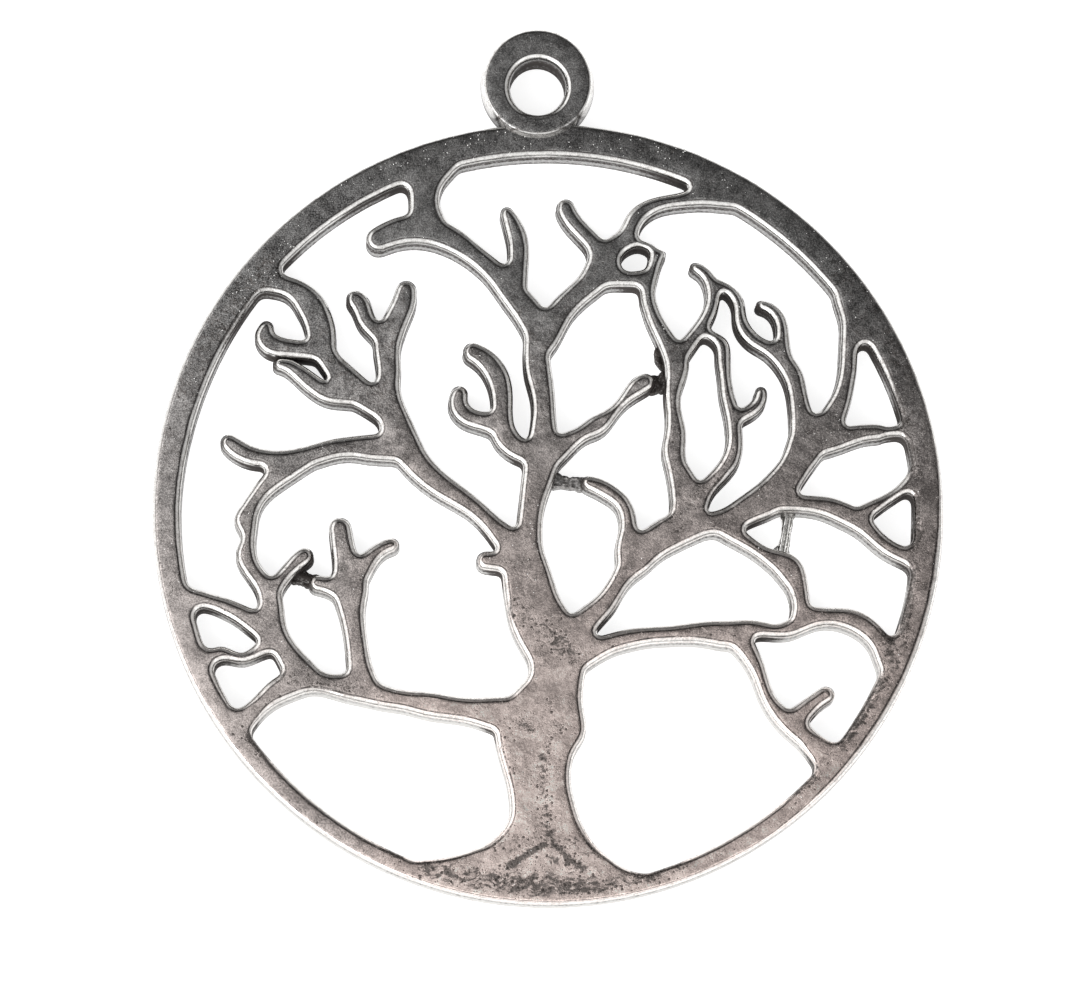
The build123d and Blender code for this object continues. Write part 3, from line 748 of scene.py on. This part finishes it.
    roughness = (0.17 + grit * 0.10 + wall * 0.15 + pits * 0.30).at_most(0.9)
    relief = (grain * 0.6 + grit * 0.4) * (0.45 - foot * 0.25 + wall * 0.8 + lively * 0.5) - pits * 0.6
    bump = start.node("ShaderNodeBump", Strength=0.5, Distance=RELIEF_DEPTH * MM, Height=relief)
    metal = start.node(
        "ShaderNodeBsdfPrincipled", Base_Color=colour, Metallic=1.0, Roughness=roughness, Normal=bump
    )
    crust_and_shade = start.node(
        "ShaderNodeBsdfPrincipled", Base_Color=PATINA_AND_SHADE, Roughness=0.8, Specular_IOR_Level=0.1, Normal=bump
    )
    shader = start.node("ShaderNodeMixShader", i0=crust_and_shade_share, i1=metal, i2=crust_and_shade)
    start.node("ShaderNodeOutputMaterial", Surface=shader)
    return material


antique_silver = silver_finish()
plate_mesh.materials.append(antique_silver)
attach(plate, "root")
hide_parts("tree_pendant")

# The webs: thin flash left in the mould between neighbouring twigs, sunk half way down the wall.
# They are rough, and hold the black patina unless wear has reached them.

WEB_TOP = 1.2
WEB_FOOT = 0.05
# The rough top lies this far below WEB_TOP on average.
WEB_SINK = 0.10
WEB_GRID = 0.11
WEB_LEAST_SPACING = 0.05
WEB_OVERLAP = 0.06
RAGGED_EDGE = 0.16
# A side of a web is free from this distance to the nearest limb, and wholly so at twice that.
FREE_FROM = 0.15
# A face of the CAD node belongs to a web where its normal points up by at least the first of these
# and its height is within the second of WEB_TOP.
WEB_LEVEL = 0.9
WEB_TOLERANCE = 0.01
# One web a row. Columns: x and y of its middle, direction of its ribs in degrees, their spacing and
# height, height of the random crumbs, all in millimetres, how much patina it holds and how far it is
# worn bright.
WEB_SHAPES = [
    (1.25, -1.10, -9, 0.20, 0.060, 0.08, 0.15, 0.4),
    (6.90, 5.30, 80, 0.30, 0.030, 0.30, 0.40, 0.0),
    (7.30, 6.70, 80, 0.30, 0.030, 0.30, 0.40, 0.0),
    (-15.5, -7.30, -14, 0.62, 0.100, 0.10, 0.50, 0.0),
    (15.1, -4.20, 80, 0.50, 0.160, 0.02, 0.00, 1.0),
]


def web_outlines(node):
    """The outline of each level patch that the node has at the height of the webs."""
    flat = bmesh.new()
    flat.from_mesh(node.data)
    bmesh.ops.remove_doubles(flat, verts=flat.verts, dist=WELD_DISTANCE * MM)
    others = [
        face
        for face in flat.faces
        if face.normal.z < WEB_LEVEL
        or abs(face.calc_center_median().z - WEB_TOP * MM) > WEB_TOLERANCE * MM
    ]
    bmesh.ops.delete(flat, geom=others, context="FACES")
    loops = chained([edge for edge in flat.edges if edge.is_boundary])
    flat.free()
    return loops


def ragged(loop, limbs):
    """Break the free sides of a web, those away from every limb, into small teeth."""
    inwards = inward_normals(loop, 1)
    for index, (x, y) in enumerate(loop):
        free = min(max(limbs.find((x, y, 0))[2] / FREE_FROM - 1, 0), 1)
        teeth = 0.5 + 0.5 * noise.fractal(Vector((x * 4.0, y * 4.0, 5.0)), 1.0, 2.0, 2)
        loop[index] += inwards[index] * (free * RAGGED_EDGE * teeth - WEB_OVERLAP)
    return loop


web_points, web_faces, web_shelter, web_worn = [], [], [], []
limb_sides = point_tree(np.vstack(outlines))
for patch in web_outlines(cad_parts["tree_pendant"]):
    middle = patch.mean(0)
    shape = min(WEB_SHAPES, key=lambda row: math.hypot(row[0] - middle[0], row[1] - middle[1]))
    _, _, rib_turn, rib_spacing, rib_height, crumb_height, patina, polish = shape
    across = np.array([-math.sin(math.radians(rib_turn)), math.cos(math.radians(rib_turn))])
    edge_loop = ragged(even_loop(patch, WEB_GRID), limb_sides)
    places, _, triangles, border = sheet([edge_loop], (WEB_GRID,), WEB_GRID, WEB_LEAST_SPACING)
    first = len(web_points)
    for x, y in places:
        rough = noise.fractal(Vector((x * 3.5, y * 3.5, 1.0)), 1.0, 2.0, 4)
        rib = math.cos(2 * math.pi * ((x, y) - middle) @ across / rib_spacing)
        web_points.append((x, y, WEB_TOP - WEB_SINK + crumb_height * rough + rib_height * rib))
    foot_ring = np.arange(len(edge_loop)) + len(web_points)
    web_points += [(x, y, WEB_FOOT) for x, y in edge_loop]
    anticlockwise = loop_area(edge_loop) > 0
    web_faces += [tuple(first + t) for t in triangles]
    web_faces += band(first + border, foot_ring, anticlockwise)
    web_faces.append(tuple(foot_ring[::-1] if anticlockwise else foot_ring))
    web_shelter += [patina] * (len(web_points) - first)
    web_worn += [polish] * (len(web_points) - first)
webs_mesh = smooth_mesh(
    "webs", web_points, web_faces, shelter=web_shelter, worn=web_worn, wall=1 - np.array(web_worn)
)
webs_mesh.materials.append(antique_silver)
webs = in_scene("webs", webs_mesh)
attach(webs, "root")
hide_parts("tree_pendant")

# The grains: beads of metal no bigger than dust that stand on the face where the mould was pitted.
# They were cast with the plate and are polished bright by wear.

GRAINS_PER_MM2 = 3.6
GRAIN_SMALLEST = 0.012
GRAIN_LARGEST = 0.045
# Grains stand only on the level face, no further below its top than this.
GRAIN_DROP = 0.04
GRAIN_SEED = 7
GRAIN_BRIGHT = (0.98, 0.97, 0.95, 1)
GRAIN_DULL = (0.70, 0.69, 0.67, 1)


def grain_tree(material):
    """Scatter small beads over the level face, as densely as the face's own grain_field says."""
    tree = bpy.data.node_groups.new("casting_grains", "GeometryNodeTree")
    tree.interface.new_socket("Plate", in_out="INPUT", socket_type="NodeSocketGeometry")
    for name, kind in (
        ("Grains per square metre", "NodeSocketFloat"),
        ("Smallest radius", "NodeSocketFloat"),
        ("Largest radius", "NodeSocketFloat"),
        ("Lowest place", "NodeSocketFloat"),
        ("Seed", "NodeSocketInt"),
    ):
        tree.interface.new_socket(name, in_out="INPUT", socket_type=kind)
    tree.interface.new_socket("Grains", in_out="OUTPUT", socket_type="NodeSocketGeometry")
    start = Wire(tree)
    given = start.node("NodeGroupInput")
    seed = given.other("Seed")
    level = start.node(
        "FunctionNodeCompare",
        output="Result",
        A=start.node("GeometryNodeInputPosition").part(2),
        B=given.other("Lowest place"),
    )
    field = start.node("GeometryNodeInputNamedAttribute", output="Attribute", Name="grain_field")
    points = start.node(
        "GeometryNodeDistributePointsOnFaces",
        output="Points",
        Mesh=given,
        Selection=level,
        Density=field * given.other("Grains per square metre"),
        Seed=seed,
    )
    size = start.node(
        "FunctionNodeRandomValue",
        output=1,
        i2=given.other("Smallest radius"),
        i3=given.other("Largest radius"),
        Seed=seed,
    )
    bead = start.node("GeometryNodeMeshIcoSphere", output="Mesh", Radius=1.0, Subdivisions=1)
    placed = start.node("GeometryNodeInstanceOnPoints", Points=points, Instance=bead, Scale=size)
    real = start.node("GeometryNodeRealizeInstances", Geometry=placed)
    painted = start.node("GeometryNodeSetMaterial", Geometry=real, Material=material)
    start.node("NodeGroupOutput", Grains=painted)
    return tree


def bright_metal():
    """Worn, polished alloy."""
    material, start = blank_material("polished_grain")
    metres = start.node("ShaderNodeTexCoord", output=3)
    tone = start.node("ShaderNodeTexNoise", Vector=metres, Scale=4000.0)
    colour = start.tint(GRAIN_BRIGHT, GRAIN_DULL, tone)
    metal = start.node("ShaderNodeBsdfPrincipled", Base_Color=colour, Metallic=1.0, Roughness=0.22)
    start.node("ShaderNodeOutputMaterial", Surface=metal)
    return material


grain_source = in_scene("grain_source", plate_mesh.copy())
scatter = grain_source.modifiers.new("casting_grains", "NODES")
scatter.node_group = grain_tree(bright_metal())
sockets = {item.name: item.identifier for item in scatter.node_group.interface.items_tree}
scatter[sockets["Grains per square metre"]] = GRAINS_PER_MM2 / MM**2
scatter[sockets["Smallest radius"]] = GRAIN_SMALLEST * MM
scatter[sockets["Largest radius"]] = GRAIN_LARGEST * MM
scatter[sockets["Lowest place"]] = (PLATE_THICKNESS - GRAIN_DROP) * MM
scatter[sockets["Seed"]] = GRAIN_SEED
bpy.context.view_layer.update()
evaluated = grain_source.evaluated_get(bpy.context.evaluated_depsgraph_get())
grains_mesh = bpy.data.meshes.new_from_object(evaluated)
grains_mesh.name = "casting_grains"
bpy.data.objects.remove(grain_source)
grains = in_scene("casting_grains", grains_mesh)
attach(grains, "root")
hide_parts("tree_pendant")

# The hanging loop: a round ring standing on the rim, cast with the plate and a little thicker.
# Its outer side is bulged, its face is flat, and its hole flares towards the face.

LOOP_CENTRE = (-0.7, 24.45)
HOLE_CENTRE = (-0.7, 24.15)
LOOP_TURNS = 144
# Patina lies in the corner between the loop and the rim's edge, over this reach, and in the hole.
CORNER_REACH = 0.8
HOLE_PATINA = 0.45
# Columns: share of the way from the hole's centre to the loop's, radius and height in millimetres,
# how far the place is worn bright, and how far it counts as a wall.
LOOP_PROFILE = [
    (0, 1.80, 0.00, 0, 1),
    (0, 1.75, 0.08, 0, 1),
    (0, 1.75, 0.70, 0, 1),
    (0, 1.76, 1.40, 0, 1),
    (0, 1.75, 1.95, 0, 1),
    (0, 1.76, 2.25, 0.2, 0.9),
    (0, 1.80, 2.44, 0.6, 0.4),
    (0, 1.88, 2.60, 1, 0),
    (0, 1.98, 2.72, 1, 0),
    (0, 2.07, 2.78, 0.7, 0),
    (0, 2.14, 2.797, 0.2, 0),
    (0, 2.20, 2.80, 0, 0),
    (0.5, 2.70, 2.80, 0, 0),
    (1, 3.20, 2.80, 0, 0),
    (1, 3.27, 2.795, 0.1, 0),
    (1, 3.34, 2.765, 0.6, 0),
    (1, 3.41, 2.69, 1, 0),
    (1, 3.48, 2.54, 1, 0),
    (1, 3.56, 2.26, 0.8, 0),
    (1, 3.62, 1.86, 0.5, 0.3),
    (1, 3.65, 1.40, 0.3, 0.6),
    (1, 3.62, 0.95, 0.2, 0.8),
    (1, 3.53, 0.50, 0, 1),
    (1, 3.38, 0.14, 0, 1),
    (1, 3.24, 0.00, 0, 0),
    (0.5, 2.50, 0.00, 0, 0),
]

loop_points, loop_shelter = [], []
for step in range(LOOP_TURNS):
    angle = 2 * math.pi * step / LOOP_TURNS
    for share, radius, height, _, wall in LOOP_PROFILE:
        centre_y = HOLE_CENTRE[1] + share * (LOOP_CENTRE[1] - HOLE_CENTRE[1])
        x = LOOP_CENTRE[0] + radius * math.cos(angle)
        y = centre_y + radius * math.sin(angle)
        loop_points.append((x, y, height))
        from_edge = abs(math.hypot(x - DISC_CENTRE[0], y - DISC_CENTRE[1]) - DISC_RADIUS)
        in_hole = HOLE_PATINA * wall if share == 0 else 0
        loop_shelter.append(max(1 - from_edge / CORNER_REACH, in_hole, 0))
here = np.arange(len(loop_points)).reshape(LOOP_TURNS, len(LOOP_PROFILE))
above = np.roll(here, -1, 1)
corners = np.stack([here, above, np.roll(above, -1, 0), np.roll(here, -1, 0)], -1)
loop_mesh = smooth_mesh(
    "hanging_loop",
    loop_points,
    [tuple(quad) for quad in corners.reshape(-1, 4)],
    shelter=loop_shelter,
    worn=[row[3] for row in LOOP_PROFILE] * LOOP_TURNS,
    wall=[row[4] for row in LOOP_PROFILE] * LOOP_TURNS,
)
loop_mesh.materials.append(antique_silver)
hanging_loop = in_scene("hanging_loop", loop_mesh)
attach(hanging_loop, "root")
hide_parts("tree_pendant")

# The floor: a plain pale table top that the pendant lies on, painted matt.
# It glows a little, so that it shows as even white.

# The length of its sides, in metres.
FLOOR_SIZE = 1.2
FLOOR_PAINT = (0.65, 0.65, 0.65, 1)
FLOOR_GLOW = 0.8
WHITE = (1.0, 1.0, 1.0, 1)


def pale_paint():
    """Matt pale paint with a glow of its own."""
    material, start = blank_material("pale_floor")
    paint = start.node(
        "ShaderNodeBsdfPrincipled",
        Base_Color=FLOOR_PAINT,
        Roughness=0.8,
        Specular_IOR_Level=0.1,
        Emission_Color=WHITE,
        Emission_Strength=FLOOR_GLOW,
    )
    start.node("ShaderNodeOutputMaterial", Surface=paint)
    return material


half = FLOOR_SIZE / 2
floor_mesh = bpy.data.meshes.new("floor")
floor_mesh.from_pydata(
    [(-half, -half, 0), (half, -half, 0), (half, half, 0), (-half, half, 0)], [], [(0, 1, 2, 3)]
)
floor_mesh.materials.append(pale_paint())
floor = in_scene("floor", floor_mesh)

# The light: a white tent, bright towards the foot of the pendant and on its left and dim beyond
# the loop, with a dark slit for the lens and one large soft light on the left.

# Where the soft light's middle is and how long its sides are, in metres, and its power in watts.
LAMP_PLACE = Vector((-0.45, -0.45, 0.35))
LAMP_SIZE = 0.5
LAMP_POWER = 1.6

world = bpy.data.worlds.new("white_tent")
world.use_nodes = True
world.node_tree.nodes.clear()
bpy.context.scene.world = world
tent = Wire(world.node_tree)
direction = tent.node("ShaderNodeTexCoord", output=0)
sky_x, sky_y, sky_z = direction.part(0), direction.part(1), direction.part(2)
# Dim beyond the loop and to its right, brighter towards the foot and both sides, darker low down.
beyond = sky_y + sky_x
glow = beyond.ramp(0.25, 0.09, 0.10, 1.15) + sky_y.ramp(0.0, -0.4, 0.0, 0.6)
glow = glow + sky_x.ramp(-0.15, -0.6, 0.0, 1.0) + sky_x.ramp(0.35, 0.8, 0.0, 0.6)
slit = sky_y.ramp(-0.07, -0.12) * sky_y.ramp(-0.22, -0.17)
slit = slit * sky_x.ramp(-0.5, -0.3) * sky_x.ramp(0.5, 0.3)
glow = (glow + beyond.ramp(0.50, 0.95, 0.0, 0.25)) * (1.0 - slit * 0.75)
glow = glow * sky_z.ramp(0.0, 0.35, 0.25, 1.0)
tent.node("ShaderNodeOutputWorld", Surface=tent.node("ShaderNodeBackground", Strength=glow))

soft_light = bpy.data.lights.new("soft_light", "AREA")
soft_light.shape = "RECTANGLE"
soft_light.size = LAMP_SIZE
soft_light.size_y = LAMP_SIZE
soft_light.energy = LAMP_POWER
lamp = in_scene("soft_light", soft_light)
lamp.matrix_world = Matrix.LocRotScale(LAMP_PLACE, LAMP_PLACE.to_track_quat("Z", "Y"), None)

# The camera: above the pendant, leaning a little towards its foot and to its left, far enough
# away that the walls of the gaps hardly spread.

# Distances in metres: from the camera to the point it looks at, and to the nearest thing it shows.
CAMERA_DISTANCE = 0.420
NEAREST_SEEN = 0.01
LOOK_AT = Vector((-0.8354, -1.9898, 1.15)) * MM
CAMERA_LEAN = math.radians(9.5)
CAMERA_SWING = math.radians(1.5)
SENSOR_WIDTH = 36.0
PHOTO_WIDTH = 1070
PIXELS_PER_MM = 15.80

back = Vector(
    (
        -math.sin(CAMERA_SWING) * math.cos(CAMERA_LEAN),
        -math.sin(CAMERA_LEAN),
        math.cos(CAMERA_LEAN) * math.cos(CAMERA_SWING),
    )
).normalized()
right = (-back).cross(Vector((0, 1, 0))).normalized()
up = right.cross(-back)
camera_data = bpy.data.cameras.new("camera")
camera_data.sensor_width = SENSOR_WIDTH
camera_data.lens = PIXELS_PER_MM * CAMERA_DISTANCE / MM / PHOTO_WIDTH * SENSOR_WIDTH
camera_data.clip_start = NEAREST_SEEN
camera = in_scene("camera", camera_data)
turned = Matrix((right, up, back)).transposed().to_4x4()
camera.matrix_world = Matrix.Translation(LOOK_AT + back * CAMERA_DISTANCE) @ turned
bpy.context.scene.camera = camera
bpy.context.scene.view_settings.view_transform = "Standard"
